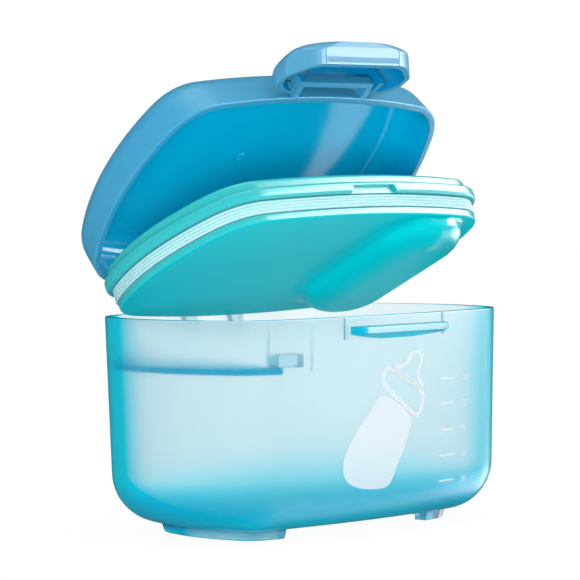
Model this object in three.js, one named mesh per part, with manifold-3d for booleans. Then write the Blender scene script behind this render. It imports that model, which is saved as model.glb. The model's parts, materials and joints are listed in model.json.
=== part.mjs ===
// Formula dispenser: a translucent tub, a tray-shaped inner lid with a silicone seal, a domed outer lid
// and a front clasp, shown half open. Millimetres, +Z up, front towards -Y, long side along X.
// Every size below is that of the closed dispenser, with the tub's middle at x = y = 0 and the floor at
// z = 0. Each lid is then turned open about the hinge pin, and the clasp about its own pivot.
import * as THREE from 'three';
import { mergeVertices } from 'three/addons/utils/BufferGeometryUtils.js';
import Module from 'manifold-3d';

const wasm = await Module();
wasm.setup();

// Driving dimensions
const plan = { length: 130, width: 86.3, frontRadius: 284, sideRadius: 75, cornerRadius: 19.8 };
const tub = { rimZ: 69.8, baseZ: 3, baseRadius: 15.9, draftDeg: 1.63, wall: 2.2, rimRound: 0.5 };
const foot = { outerInset: 16, flare: 1.4, innerInset: 22, endX: 31.8, cornerRadius: 8, height: 4.4 };
const ledge = { halfLength: 19.5, topZ: 66.7, endZ: 64.1, middleZ: 62.2, frontY: -48.6, wallY: -41.8, lip: 2.1 };
const gusset = { x: 22, width: 1.6, frontY: -43.1, wallY: -41.5, lowZ: 62.6, highZ: 69.5 };
const guide = { lowX: -49.7, highX: -33.3, lowZ: 53.5, highZ: 66.3, bar: 1.2, proud: 0.8, round: 1.6 };
const leveller = { lowZ: 52.8, thick: 2.2, edgeX: -43.4, wallGap: 1.1, tabLowX: -45.4, tabHighX: -36.4, tabZ: 58.8,
  tabGap: 0.4, tabDepth: 4 };
const hinge = { y: 46.92, z: 73.81, pinRadius: 1.25, boreRadius: 1.6, pinHalf: 20.2 };
const lug = { lowX: 8.5, highX: 12.1, radius: 3.2 };
const innerKnuckle = { halfWidth: 8.1, radius: 2.9 };
const outerKnuckle = { lowX: 12.5, highX: 19.5, radius: 3 };
const innerLid = { openDeg: 25.19, bottomZ: 63.6, plateTopZ: 65.4, grooveLowZ: 66.6, flangeZ: 70.2, ledgeZ: 74.14,
  topZ: 77.82, flangeInset: 0.89, ribInset: 3.25, grooveInset: 5, stepInset: 3.1, topInset: 4.5, bowlInset: 6.2 };
const notch = { halfWidth: 9, slant: 1.6, lowZ: 69.6, highZ: 73, depth: 1.7 };
const seal = { ribInset: 2.65, valleyInset: 3.05, backInset: 4.7, lowZ: 66.9, highZ: 69.9, ribs: 4 };
const well = { mouth: [31.8, -2, 22.2, 34, 15], crease: [32.8, -3.9, 16.8, 32.3, 15.5], bottom: [38.2, 0, 8.5, 24.6, 7.7],
  creaseDrop: 1.6, depth: 6.7, wall: 1.7, keepInset: 7.2 };
const outerLid = { openDeg: 46.37, rimZ: 74.44, height: 17.55, rimInset: 0.37, draftDeg: 4.07, topRadius: 9.2,
  wall: 2.4, rimRound: 0.5 };
const bracket = { halfWidth: 16.4, arm: 2.2, frontY: -48.7, plate: 1.8, lowZ: 74.6, highZ: 78.2, wallY: -41.4 };
const pivot = { y: -45.8, z: 76.6, pinRadius: 1.3, boreRadius: 1.65, pinEndX: 18.9, sweepRadius: 4.25, sweepHalf: 17 };
const clasp = { openDeg: 74, halfWidth: 27.9, flatHalf: 13.7, lowZ: 58.2, highZ: 79.8, lowCorner: 7.1,
  highCorner: 7.7, middleZ: 68.6, frontY: -54.2, faceRadius: 15.8, backY: -43.7, wall: 1.7, hookZ: 60.7,
  hookSlope: 0.545, topBackZ: 78.5, topSlope: 0.33, rib: 1.8, ribLowZ: 71.5, sectionPower: 3.25 };

// Segments of each quarter of the plan outline: front or back arc, corner arc, side arc
const segments = { front: 4, corner: 6, side: 4 };
const ROUND = 24;
const LONG = 60;

const colours = { tub: 0xa9dcea, plate: 0x4fbbe0, pin: 0x8fc4e6, inner: 0x2fc6cc, seal: 0xdff0f2, outer: 0x86bfe6,
  clasp: 0x9ccdf0 };

const rad = THREE.MathUtils.degToRad;

// One quarter of the plan outline (x > 0, y < 0), drawn in by inset: a flat front arc, a corner arc and a
// side arc, each tangent to the next
function quarter(inset, minCorner) {
  const halfLength = plan.length / 2 - inset;
  const halfWidth = plan.width / 2 - inset;
  const front = plan.frontRadius - inset;
  const side = plan.sideRadius - inset;
  const corner = Math.max(plan.cornerRadius - inset, minCorner);
  const frontCentre = new THREE.Vector2(0, front - halfWidth);
  const sideCentre = new THREE.Vector2(halfLength - side, 0);
  const between = sideCentre.clone().sub(frontCentre);
  const gap = between.length();
  const reach = front - corner;
  const along = (reach ** 2 - (side - corner) ** 2 + gap ** 2) / (2 * gap);
  const off = Math.sqrt(reach ** 2 - along ** 2);
  between.divideScalar(gap);
  const cornerCentre = new THREE.Vector2(
    frontCentre.x + along * between.x - off * between.y,
    frontCentre.y + along * between.y + off * between.x);
  const fromFront = cornerCentre.clone().sub(frontCentre);
  const fromSide = cornerCentre.clone().sub(sideCentre);
  const start = Math.atan2(fromFront.y, fromFront.x);
  const end = Math.atan2(fromSide.y, fromSide.x);
  const arc = (centre, radius, from, to, steps) =>
    new THREE.EllipseCurve(centre.x, centre.y, radius, radius, from, to).getPoints(steps).slice(0, -1);
  return [
    ...arc(frontCentre, front, -Math.PI / 2, start, segments.front),
    ...arc(cornerCentre, corner, start, end, segments.corner),
    ...arc(sideCentre, side, end, 0, segments.side)];
}

// The whole plan outline at one height, anticlockwise from the middle of the front
function ring(inset, z, minCorner = 1.5) {
  const q = quarter(inset, minCorner);
  const right = new THREE.Vector2(plan.length / 2 - inset, 0);
  const back = q.slice(1).reverse().map((p) => new THREE.Vector2(p.x, -p.y));
  const half = [...q, right, ...back];
  const other = half.map((p) => new THREE.Vector2(-p.x, -p.y));
  return [...half, ...other].map((p) => new THREE.Vector3(p.x, p.y, z));
}

// A closed skin over a list of rings with equal counts. Rings run from the outside round to the inside;
// ends are closed by fans, or the last ring joins the first where the skin goes round a hole.
function skin(rings, joined = false) {
  const count = rings[0].length;
  const points = rings.flat();
  const faces = [];
  const spans = joined ? rings.length : rings.length - 1;
  for (let r = 0; r < spans; r += 1) {
    const a = r * count;
    const b = ((r + 1) % rings.length) * count;
    for (let i = 0; i < count; i += 1) {
      const j = (i + 1) % count;
      faces.push(a + i, a + j, b + j, a + i, b + j, b + i);
    }
  }
  if (!joined) {
    const fan = (list, base, flip) => {
      const middle = list.reduce((sum, p) => sum.add(p), new THREE.Vector3()).divideScalar(count);
      points.push(middle);
      for (let i = 0; i < count; i += 1) {
        const j = (i + 1) % count;
        faces.push(points.length - 1, base + (flip ? j : i), base + (flip ? i : j));
      }
    };
    fan(rings[0], 0, true);
    fan(rings[rings.length - 1], (rings.length - 1) * count, false);
  }
  const geometry = new THREE.BufferGeometry().setFromPoints(points);
  geometry.setIndex(faces);
  return geometry;
}

// Rings of the plan outline along a profile of [inset, z] pairs
const around = (profile) => profile.map(([inset, z]) => ring(inset, z));

function solid(geometry) {
  const bare = geometry.clone();
  bare.deleteAttribute('normal');
  bare.deleteAttribute('uv');
  const merged = mergeVertices(bare, 1e-4);
  return new wasm.Manifold(new wasm.Mesh({
    numProp: 3,
    vertProperties: new Float32Array(merged.attributes.position.array),
    triVerts: new Uint32Array(merged.index.array) }));
}

function geometryOf(body) {
  const mesh = body.getMesh();
  const geometry = new THREE.BufferGeometry();
  geometry.setAttribute('position', new THREE.BufferAttribute(mesh.vertProperties, 3));
  geometry.setIndex(new THREE.BufferAttribute(mesh.triVerts, 1));
  return geometry;
}

const join = (first, ...others) => others.reduce((sum, part) => sum.add(part), first);
const cut = (first, ...others) => others.reduce((rest, part) => rest.subtract(part), first);

// A shape drawn in (y, z) and run from x = from to x = to
function alongX(shape, from, to) {
  const geometry = new THREE.ExtrudeGeometry(shape, { depth: to - from, bevelEnabled: false, curveSegments: 10 });
  const basis = new THREE.Matrix4().makeBasis(
    new THREE.Vector3(0, 1, 0), new THREE.Vector3(0, 0, 1), new THREE.Vector3(1, 0, 0));
  return solid(geometry.applyMatrix4(basis).translate(from, 0, 0));
}

// A shape drawn in (x, z) and run from y = from to y = to
function alongY(shape, from, to) {
  const geometry = new THREE.ExtrudeGeometry(shape, { depth: to - from, bevelEnabled: false, curveSegments: 10 });
  const basis = new THREE.Matrix4().makeBasis(
    new THREE.Vector3(1, 0, 0), new THREE.Vector3(0, 0, 1), new THREE.Vector3(0, -1, 0));
  return solid(geometry.applyMatrix4(basis).translate(0, to, 0));
}

const polygon = (...pairs) => new THREE.Shape(pairs.map(([a, b]) => new THREE.Vector2(a, b)));

function rodX(radius, at, from, to) {
  const geometry = new THREE.CylinderGeometry(radius, radius, to - from, ROUND).rotateZ(Math.PI / 2);
  return solid(geometry.translate((from + to) / 2, at.y, at.z));
}

function block(x, y, z) {
  const geometry = new THREE.BoxGeometry(x[1] - x[0], y[1] - y[0], z[1] - z[0]);
  return solid(geometry.translate((x[0] + x[1]) / 2, (y[0] + y[1]) / 2, (z[0] + z[1]) / 2));
}

// The same piece on both sides of the middle plane
const bothSides = (make) => [make(1), make(-1)];
const span = (low, high, side) => (side > 0 ? [low, high] : [-high, -low]);

// Inset of the tub's drafted wall at a height, with extra for what stands inside its outer face
const wallInset = (z, extra = 0) => (tub.rimZ - z) * Math.tan(rad(tub.draftDeg)) + extra;

// Quarter arc as pairs of [share inwards, share downwards], from flat bottom to upright wall
function arcShares(steps) {
  const shares = [];
  for (let i = 0; i <= steps; i += 1) {
    const t = (Math.PI / 2) * (1 - i / steps);
    shares.push([1 - Math.cos(t), 1 - Math.sin(t)]);
  }
  return shares;
}

function tubShell() {
  const wallProfile = (depth) => arcShares(6).map(([inwards, up]) => {
    const z = tub.baseZ + depth + (tub.baseRadius - depth) * up;
    return [wallInset(z, depth + (tub.baseRadius - depth) * inwards), z];
  });
  const { rimZ, wall, rimRound } = tub;
  return solid(skin(around([
    ...wallProfile(0), [wallInset(rimZ - rimRound), rimZ - rimRound], [rimRound, rimZ],
    [wall - rimRound, rimZ], [wallInset(rimZ - rimRound, wall), rimZ - rimRound],
    ...wallProfile(wall).reverse()])));
}

// The catch: a shelf with a short front lip, a sloping underside and a bowed lower edge
function catchLedge() {
  const { halfLength, topZ, endZ, middleZ, frontY, wallY, lip } = ledge;
  const side = polygon([wallY, middleZ - 0.2], [wallY, topZ], [frontY, topZ], [frontY, topZ - lip]);
  const face = new THREE.Shape();
  face.moveTo(-halfLength, topZ + 1);
  face.lineTo(-halfLength, endZ);
  face.quadraticCurveTo(0, 2 * middleZ - endZ, halfLength, endZ);
  face.lineTo(halfLength, topZ + 1);
  return alongX(side, -halfLength - 1, halfLength + 1).intersect(alongY(face, -LONG, 0));
}

// A thin raised U on the inner walls, front and back, that holds one tab of the leveller
function guideFrames() {
  const { lowX, highX, lowZ, highZ, bar, proud, round } = guide;
  const frame = new THREE.Shape();
  frame.moveTo(lowX, highZ);
  frame.lineTo(lowX, lowZ + round);
  frame.absarc(lowX + round, lowZ + round, round, Math.PI, 1.5 * Math.PI);
  frame.absarc(highX - round, lowZ + round, round, 1.5 * Math.PI, 2 * Math.PI);
  frame.lineTo(highX, highZ);
  frame.lineTo(highX - bar, highZ);
  frame.lineTo(highX - bar, lowZ + bar);
  frame.lineTo(lowX + bar, lowZ + bar);
  frame.lineTo(lowX + bar, highZ);
  const inside = (z, extra) => [wallInset(z, tub.wall + extra), z];
  const band = solid(skin(around([
    inside(lowZ - 1, proud), inside(lowZ - 1, -0.2), inside(highZ + 0.3, -0.2), inside(highZ + 0.3, proud),
  ]), true));
  return band.intersect(alongY(frame, -LONG, LONG));
}

// Two rails under the ends, following the outline
function feet() {
  const { outerInset, flare, innerInset, endX, cornerRadius, height } = foot;
  const rails = solid(skin([
    ring(outerInset + flare, 0, cornerRadius), ring(outerInset, height, cornerRadius),
    ring(innerInset, height, cornerRadius), ring(innerInset, 0, cornerRadius)], true));
  return rails.subtract(block([-endX, endX], [-LONG, LONG], [-1, height + 1]));
}

function hingeLug(side) {
  const [from, to] = span(lug.lowX, lug.highX, side);
  const web = polygon([42, 59], [43, 59], [44.2, 60.5], [49.9, 72.4], [50, hinge.z], [43.8, hinge.z],
    [43.4, 69.5], [42, 69.5]);
  return alongX(web, from, to).add(rodX(lug.radius, hinge, from, to));
}

function container() {
  const gussets = bothSides((side) => block(
    span(gusset.x - gusset.width / 2, gusset.x + gusset.width / 2, side), [gusset.frontY, gusset.wallY],
    [gusset.lowZ, gusset.highZ]));
  const body = join(tubShell(), catchLedge(), ...gussets, guideFrames(), feet(), ...bothSides(hingeLug));
  return body.subtract(rodX(hinge.boreRadius, hinge, -LONG, LONG));
}

// A plate across the left end that strikes the powder level, with a tab in each guide
function levellerPlate() {
  const { lowZ, thick, edgeX, wallGap, tabLowX, tabHighX, tabZ, tabGap, tabDepth } = leveller;
  const highZ = lowZ + thick;
  const plate = solid(skin(around([[wallInset(lowZ, tub.wall + wallGap), lowZ],
    [wallInset(highZ, tub.wall + wallGap), highZ]])));
  const kept = plate.intersect(block([-LONG - 20, edgeX], [-LONG, LONG], [0, LONG * 2]));
  const tabInset = (z, extra) => [wallInset(z, tub.wall + tabGap + extra), z];
  const tabs = solid(skin(around([tabInset(highZ - 0.1, tabDepth), tabInset(highZ - 0.1, 0), tabInset(tabZ, 0),
    tabInset(tabZ, tabDepth)]), true));
  return kept.add(tabs.intersect(block([tabLowX, tabHighX], [-LONG, LONG], [0, LONG * 2])));
}

// Rounded rectangle ring for the scoop well: part way from one outline, [x, y, halfX, halfY, corner], to another
function wellRing(from, to, share, z, wall) {
  const mix = (i) => THREE.MathUtils.lerp(from[i], to[i], share);
  const [x, y, halfX, halfY, corner] = [mix(0), mix(1), mix(2) - wall, mix(3) - wall, mix(4) - wall];
  const outline = new THREE.Path();
  outline.absarc(x + halfX - corner, y - halfY + corner, corner, 1.5 * Math.PI, 2 * Math.PI);
  outline.absarc(x + halfX - corner, y + halfY - corner, corner, 0, Math.PI / 2);
  outline.absarc(x - halfX + corner, y + halfY - corner, corner, Math.PI / 2, Math.PI);
  outline.absarc(x - halfX + corner, y - halfY + corner, corner, Math.PI, 1.5 * Math.PI);
  const sides = outline.curves.filter((curve) => curve.isEllipseCurve);
  return sides.flatMap((curve) => curve.getPoints(6)).map((p) => new THREE.Vector3(p.x, p.y, z));
}

// The well's form: a round bottom up to the crease, then a hollow curve out to the mouth
function wellBody(wall, topZ, startZ) {
  const { mouth, crease, bottom, creaseDrop, depth } = well;
  const steps = 5;
  const rings = [];
  for (let i = steps; i >= 0; i -= 1) {
    const t = (i / steps) * (Math.PI / 2);
    rings.push(wellRing(crease, bottom, 1 - Math.cos(t),
      startZ - creaseDrop - (depth - creaseDrop) * Math.sin(t), wall));
  }
  for (let i = 1; i <= 3; i += 1) {
    const t = (i / 3) * (Math.PI / 2);
    rings.push(wellRing(crease, mouth, 1 - Math.cos(t), startZ - creaseDrop * (1 - Math.sin(t)), wall));
  }
  rings.push(wellRing(mouth, mouth, 0, topZ, wall));
  return solid(skin(rings));
}

function innerLidBody() {
  const { bottomZ, plateTopZ, grooveLowZ, flangeZ, ledgeZ, topZ, flangeInset, ribInset, grooveInset, stepInset,
    topInset, bowlInset } = innerLid;
  const tray = solid(skin(around([
    [ribInset + 1, bottomZ], [ribInset + 0.3, bottomZ + 0.3], [ribInset, bottomZ + 1],
    [ribInset, grooveLowZ - 0.4], [ribInset + 0.3, grooveLowZ], [grooveInset, grooveLowZ],
    [grooveInset, flangeZ], [flangeInset + 0.9, flangeZ], [flangeInset + 0.25, flangeZ + 0.35],
    [flangeInset, flangeZ + 1.1], [flangeInset, ledgeZ - 1.1], [flangeInset + 0.3, ledgeZ - 0.3],
    [flangeInset + 1, ledgeZ], [stepInset, ledgeZ], [stepInset + 0.1, topZ - 1.4],
    [stepInset + 0.5, topZ - 0.5], [topInset, topZ], [bowlInset - 0.4, topZ], [bowlInset, topZ - 0.4],
    [bowlInset, plateTopZ + 1], [bowlInset + 0.3, plateTopZ + 0.3], [bowlInset + 1, plateTopZ]])));
  const arm = polygon([41, flangeZ + 0.3], [44, flangeZ + 0.6], [hinge.y, hinge.z - innerKnuckle.radius + 0.03],
    [hinge.y, 75], [44.6, ledgeZ - 0.1], [41, ledgeZ - 0.1]);
  const half = innerKnuckle.halfWidth;
  const knuckle = alongX(arm, -half, half).add(rodX(innerKnuckle.radius, hinge, -half, half));
  const thumb = polygon([-notch.halfWidth - notch.slant, notch.lowZ], [notch.halfWidth + notch.slant, notch.lowZ],
    [notch.halfWidth, notch.highZ], [-notch.halfWidth, notch.highZ]);
  const cutY = -plan.width / 2 + flangeInset + notch.depth;
  const inBowl = solid(skin(around([[well.keepInset, 0], [well.keepInset, plateTopZ + 9]])));
  return cut(join(tray, wellBody(0, plateTopZ - 0.4, bottomZ), knuckle),
    wellBody(well.wall, plateTopZ + 4, plateTopZ).intersect(inBowl), alongY(thumb, -LONG, cutY),
    rodX(hinge.boreRadius, hinge, -LONG, LONG));
}

// The seal: a band with fine ribs round its outer face, in the inner lid's groove
function sealRing() {
  const { ribInset, valleyInset, backInset, lowZ, highZ, ribs } = seal;
  const pitch = (highZ - lowZ) / ribs;
  const profile = [[backInset, lowZ]];
  for (let i = 0; i < ribs; i += 1) {
    profile.push([valleyInset, lowZ + i * pitch], [ribInset, lowZ + (i + 0.5) * pitch]);
  }
  profile.push([valleyInset, highZ], [backInset, highZ]);
  return skin(around(profile), true);
}

function lidShell() {
  const { rimZ, height, rimInset, draftDeg, topRadius, wall, rimRound } = outerLid;
  const dome = (depth) => arcShares(6).map(([inwards, down]) => {
    const z = rimZ + height - depth - (topRadius - depth) * down;
    return [rimInset + depth + (z - rimZ) * Math.tan(rad(draftDeg)) + (topRadius - depth) * inwards, z];
  });
  return solid(skin(around([
    ...dome(wall), [rimInset + wall, rimZ + rimRound], [rimInset + wall - rimRound, rimZ],
    [rimInset + rimRound, rimZ], [rimInset, rimZ + rimRound], ...dome(0).reverse()])));
}

// A plate in front of the lid's wall on two arms, with a pivot pin out of each end
function claspBracket() {
  const { halfWidth, arm, frontY, plate, lowZ, highZ, wallY } = bracket;
  const front = block([-halfWidth, halfWidth], [frontY, frontY + plate], [lowZ, highZ]);
  const arms = bothSides((side) => block(span(halfWidth - arm, halfWidth, side), [frontY, wallY], [lowZ, highZ]));
  const pins = bothSides((side) => rodX(pivot.pinRadius, pivot, ...span(halfWidth - 0.2, pivot.pinEndX, side)));
  return join(front, ...arms, ...pins);
}

function outerKnuckles(side) {
  const [from, to] = span(outerKnuckle.lowX, outerKnuckle.highX, side);
  const web = polygon([41.4, 74.7], [43.4, 74.7], [43.9, 73.2], [hinge.y, hinge.z - outerKnuckle.radius + 0.03],
    [49.6, 75.2], [42.4, 79.5], [41.4, 79.5]);
  return alongX(web, from, to).add(rodX(outerKnuckle.radius, hinge, from, to));
}

function outerLidBody() {
  return cut(join(lidShell(), claspBracket(), ...bothSides(outerKnuckles)),
    rodX(hinge.boreRadius, hinge, -LONG, LONG));
}

// The clasp's outer form or its hollow: crowned sections stacked in z, trimmed by sloping ends.
// The wall is 0 for the outer form.
function claspForm(wall) {
  const { halfWidth, flatHalf, lowZ, highZ, lowCorner, highCorner, middleZ, frontY, faceRadius, backY, hookZ,
    hookSlope, topBackZ, topSlope, sectionPower } = clasp;
  const rear = wall > 0 ? backY + 3 : backY;
  const section = (half, z) => {
    const front = frontY + wall + (z - middleZ) ** 2 / (2 * faceRadius);
    const points = [];
    const steps = 20;
    for (let i = 0; i <= steps; i += 1) {
      const t = Math.PI * (1 + i / steps);
      const c = Math.cos(t);
      const s = Math.abs(Math.sin(t));
      points.push(new THREE.Vector3((half - wall) * Math.sign(c) * Math.abs(c) ** (2 / sectionPower),
        rear - (rear - front) * s ** (2 / sectionPower), z));
    }
    return points;
  };
  const round = halfWidth - flatHalf;
  const sections = [];
  for (let i = 5; i >= 0; i -= 1) {
    const t = (i / 5) * (Math.PI / 2);
    sections.push(section(flatHalf + round * Math.cos(t), lowZ + wall + lowCorner * (1 - Math.sin(t))));
  }
  for (let i = 0; i <= 5; i += 1) {
    const t = (i / 5) * (Math.PI / 2);
    sections.push(section(flatHalf + round * Math.cos(t), highZ - wall - highCorner * (1 - Math.sin(t))));
  }
  const reach = 12;
  const trim = polygon([backY + 4, hookZ + wall + 4 * hookSlope], [backY + 4, topBackZ - wall - 4 * topSlope],
    [backY - reach, topBackZ - wall + reach * topSlope], [backY - reach, hookZ + wall - reach * hookSlope]);
  return solid(skin(sections)).intersect(alongX(trim, -LONG, LONG));
}

function claspBody() {
  const { ribLowZ, highZ, backY, rib } = clasp;
  const form = claspForm(0);
  const ribs = bothSides((side) => block(span(pivot.sweepHalf, pivot.sweepHalf + rib, side),
    [-LONG, backY + 1], [ribLowZ, highZ]).intersect(form));
  const shell = cut(form, claspForm(clasp.wall), rodX(pivot.sweepRadius, pivot, -pivot.sweepHalf, pivot.sweepHalf));
  return cut(join(shell, ...ribs), rodX(pivot.boreRadius, pivot, -pivot.pinEndX - 0.4, pivot.pinEndX + 0.4));
}

function piece(name, geometry, colour, roughness, metalness = 0) {
  const flat = geometry.index ? geometry : mergeVertices(geometry);
  flat.computeVertexNormals();
  const mesh = new THREE.Mesh(flat, new THREE.MeshStandardMaterial({ color: colour, roughness, metalness }));
  mesh.name = name;
  return mesh;
}

// A group that turns its pieces open about an axis along X, with the pieces still in closed places
function turned(about, openDeg, ...pieces) {
  const group = new THREE.Group();
  group.position.set(0, about.y, about.z);
  group.rotation.x = -rad(openDeg);
  for (const each of pieces) {
    each.position.sub(new THREE.Vector3(0, about.y, about.z));
    group.add(each);
  }
  return group;
}

const tubMesh = piece('container', geometryOf(container()), colours.tub, 0.35);
tubMesh.material.transparent = true;
tubMesh.material.opacity = 0.55;

const claspGroup = turned(pivot, clasp.openDeg, piece('clasp', geometryOf(claspBody()), colours.clasp, 0.4));
const outerGroup = turned(hinge, outerLid.openDeg,
  piece('outer_lid', geometryOf(outerLidBody()), colours.outer, 0.4), claspGroup);
const innerGroup = turned(hinge, innerLid.openDeg,
  piece('inner_lid', geometryOf(innerLidBody()), colours.inner, 0.3), piece('seal', sealRing(), colours.seal, 0.5));
const pin = piece('hinge_pin', geometryOf(rodX(hinge.pinRadius, hinge, -hinge.pinHalf, hinge.pinHalf)),
  colours.pin, 0.4);

const dispenser = new THREE.Group();
dispenser.add(tubMesh, piece('leveller', geometryOf(levellerPlate()), colours.plate, 0.35), pin, innerGroup,
  outerGroup);

// The origin is under the middle of the box round the open dispenser
const box = new THREE.Box3().setFromObject(dispenser, true);
dispenser.position.y = -(box.min.y + box.max.y) / 2;

export default dispenser;
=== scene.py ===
"""Formula dispenser, half open: a frosted tub with a printed scale, a leveller, a tray-shaped inner lid with
a ribbed seal, a domed outer lid and a clasp."""
import json
import math

import bmesh
import bpy
from bpy.props import FloatProperty, FloatVectorProperty, IntProperty, PointerProperty
from mathutils import Matrix, Vector


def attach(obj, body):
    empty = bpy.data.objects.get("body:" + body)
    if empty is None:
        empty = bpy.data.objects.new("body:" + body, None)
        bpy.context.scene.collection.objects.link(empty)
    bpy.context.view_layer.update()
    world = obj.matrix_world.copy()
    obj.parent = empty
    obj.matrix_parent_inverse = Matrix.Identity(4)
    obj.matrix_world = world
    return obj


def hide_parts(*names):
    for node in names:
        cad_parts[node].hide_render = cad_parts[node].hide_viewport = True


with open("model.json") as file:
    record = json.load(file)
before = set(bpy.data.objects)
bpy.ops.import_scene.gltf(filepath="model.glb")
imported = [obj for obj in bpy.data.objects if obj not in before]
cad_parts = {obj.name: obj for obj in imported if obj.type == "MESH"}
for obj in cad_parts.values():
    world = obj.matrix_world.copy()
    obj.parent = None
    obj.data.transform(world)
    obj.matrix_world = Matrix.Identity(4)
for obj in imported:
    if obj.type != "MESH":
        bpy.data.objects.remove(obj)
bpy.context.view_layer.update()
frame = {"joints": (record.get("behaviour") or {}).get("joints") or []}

bl_info = {
    "name": "Formula dispenser",
    "version": (1, 0, 0),
    "blender": (4, 5, 0),
    "location": "3D View > Sidebar > Dispenser",
    "description": "Builds a half-open formula dispenser with its two lids, seal, clasp and printed scale",
    "category": "Add Mesh",
}

# Every form is made in millimetres as on the closed dispenser, with the tub's middle at x = y = 0 and the
# floor at z = 0, and is then opened about the hinge and the clasp's pivot.
MM = 0.001
SIDES = (1, -1)
FAR = 60            # well past the front and back, for what is cut right through
SHARP_OVER = 32     # degrees between two faces above which their edge stays sharp
ADD, CUT, KEEP = "UNION", "DIFFERENCE", "INTERSECT"

# The rim's length and width, and the radii of its long sides, ends and corners
PLAN = {"length": 130, "width": 86.3, "front": 284, "side": 75, "corner": 19.8}
RIM_Z, FLOOR_Z = 69.8, 3
DRAFT = math.tan(math.radians(1.63))
HINGE = Vector((0, 46.92, 73.81))
PIVOT = Vector((0, -45.8, 76.6))
HINGE_BORE, PIVOT_BORE = 1.6, 1.65

joints = {joint["name"]: joint for joint in frame["joints"]}
INNER_OPEN = -joints["inner_lid_hinge"]["range_deg"][0]
OUTER_OPEN = INNER_OPEN - joints["outer_lid_hinge"]["range_deg"][0]
CLASP_OPEN = -joints["clasp_hinge"]["range_deg"][0]
SHIFT = Vector(joints["inner_lid_hinge"]["pos_m"]) / MM - HINGE


def turn(about, degrees):
    """A turn that lifts the front about a line along X."""
    return (Matrix.Translation(about) @ Matrix.Rotation(math.radians(-degrees), 4, "X")
            @ Matrix.Translation(-about))


IN_TUB = Matrix.Scale(MM, 4) @ Matrix.Translation(SHIFT)
IN_INNER_LID = IN_TUB @ turn(HINGE, INNER_OPEN)
IN_OUTER_LID = IN_TUB @ turn(HINGE, OUTER_OPEN)
IN_CLASP = IN_OUTER_LID @ turn(PIVOT, CLASP_OPEN)


def tone(code):
    """A linear colour from six hexadecimal digits."""
    parts = [int(code[i:i + 2], 16) / 255 for i in (0, 2, 4)]
    return tuple(p / 12.92 if p <= 0.04045 else ((p + 0.055) / 1.055) ** 2.4 for p in parts)


def colour(name, description, code):
    return FloatVectorProperty(name=name, description=description, subtype="COLOR", size=3, min=0, max=1,
                               default=tone(code))


def size(name, description, millimetres, low, high):
    return FloatProperty(name=name, description=description, subtype="DISTANCE", unit="LENGTH",
                         default=millimetres * MM, min=low * MM, max=high * MM, precision=4)


def share(name, description, default):
    return FloatProperty(name=name, description=description, subtype="FACTOR", default=default, min=0, max=1)


def power(name, description, watts):
    return FloatProperty(name=name, description=description, unit="POWER", default=watts, min=0, max=90)


# ---------------- forms

def plan_ring(inset, height, least_corner=1.5):
    """The plan outline drawn in by an inset, at one height, anticlockwise from the middle of the front."""
    half_length, half_width = PLAN["length"] / 2 - inset, PLAN["width"] / 2 - inset
    front, side = PLAN["front"] - inset, PLAN["side"] - inset
    corner = max(PLAN["corner"] - inset, least_corner)
    front_centre = Vector((0, front - half_width))
    side_centre = Vector((half_length - side, 0))
    between = side_centre - front_centre
    gap = between.length
    between /= gap
    reach = front - corner
    along = (reach ** 2 - (side - corner) ** 2 + gap ** 2) / (2 * gap)
    off = math.sqrt(reach ** 2 - along ** 2)
    corner_centre = front_centre + along * between + off * Vector((-between.y, between.x))
    start = math.atan2(*reversed(corner_centre - front_centre))
    end = math.atan2(*reversed(corner_centre - side_centre))
    quarter = []
    for centre, radius, low, high, count in (
            (front_centre, front, -math.pi / 2, start, 14),
            (corner_centre, corner, start, end, 14),
            (side_centre, side, end, 0, 12)):
        for i in range(count):
            angle = low + (high - low) * i / count
            quarter.append(centre + radius * Vector((math.cos(angle), math.sin(angle))))
    half = quarter + [Vector((half_length, 0))] + [Vector((p.x, -p.y)) for p in reversed(quarter[1:])]
    return [Vector((p.x, p.y, height)) for p in half + [-p for p in half]]


def soften(profile, steps=4):
    """Rounds the corners of a list of (inset, z, cut) with short curves. A cut of 0 leaves a corner sharp."""
    soft = []
    for i, (inset, z, cut) in enumerate(profile):
        here = Vector((inset, z))
        if not cut or i in (0, len(profile) - 1):
            soft.append(tuple(here))
            continue
        before = here + (Vector(profile[i - 1][:2]) - here).normalized() * cut
        after = here + (Vector(profile[i + 1][:2]) - here).normalized() * cut
        for step in range(steps + 1):
            t = step / steps
            soft.append(tuple(before * (1 - t) ** 2 + here * 2 * t * (1 - t) + after * t ** 2))
    return soft


def around(profile):
    return [plan_ring(inset, z) for inset, z in profile]


def wall_inset(z, extra=0):
    """Inset of the tub's drafted wall at a height, with extra for what stands inside its outer face."""
    return (RIM_Z - z) * DRAFT + extra


def quarter_arc(steps):
    """Pairs of (share inwards, share left to rise), from a flat floor to an upright wall."""
    for i in range(steps + 1):
        t = math.pi / 2 * (1 - i / steps)
        yield 1 - math.cos(t), 1 - math.sin(t)


def loop_edges(loop):
    return [next(e for e in a.link_edges if e.other_vert(a) is b)
            for a, b in zip(loop, loop[1:] + loop[:1])]


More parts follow.
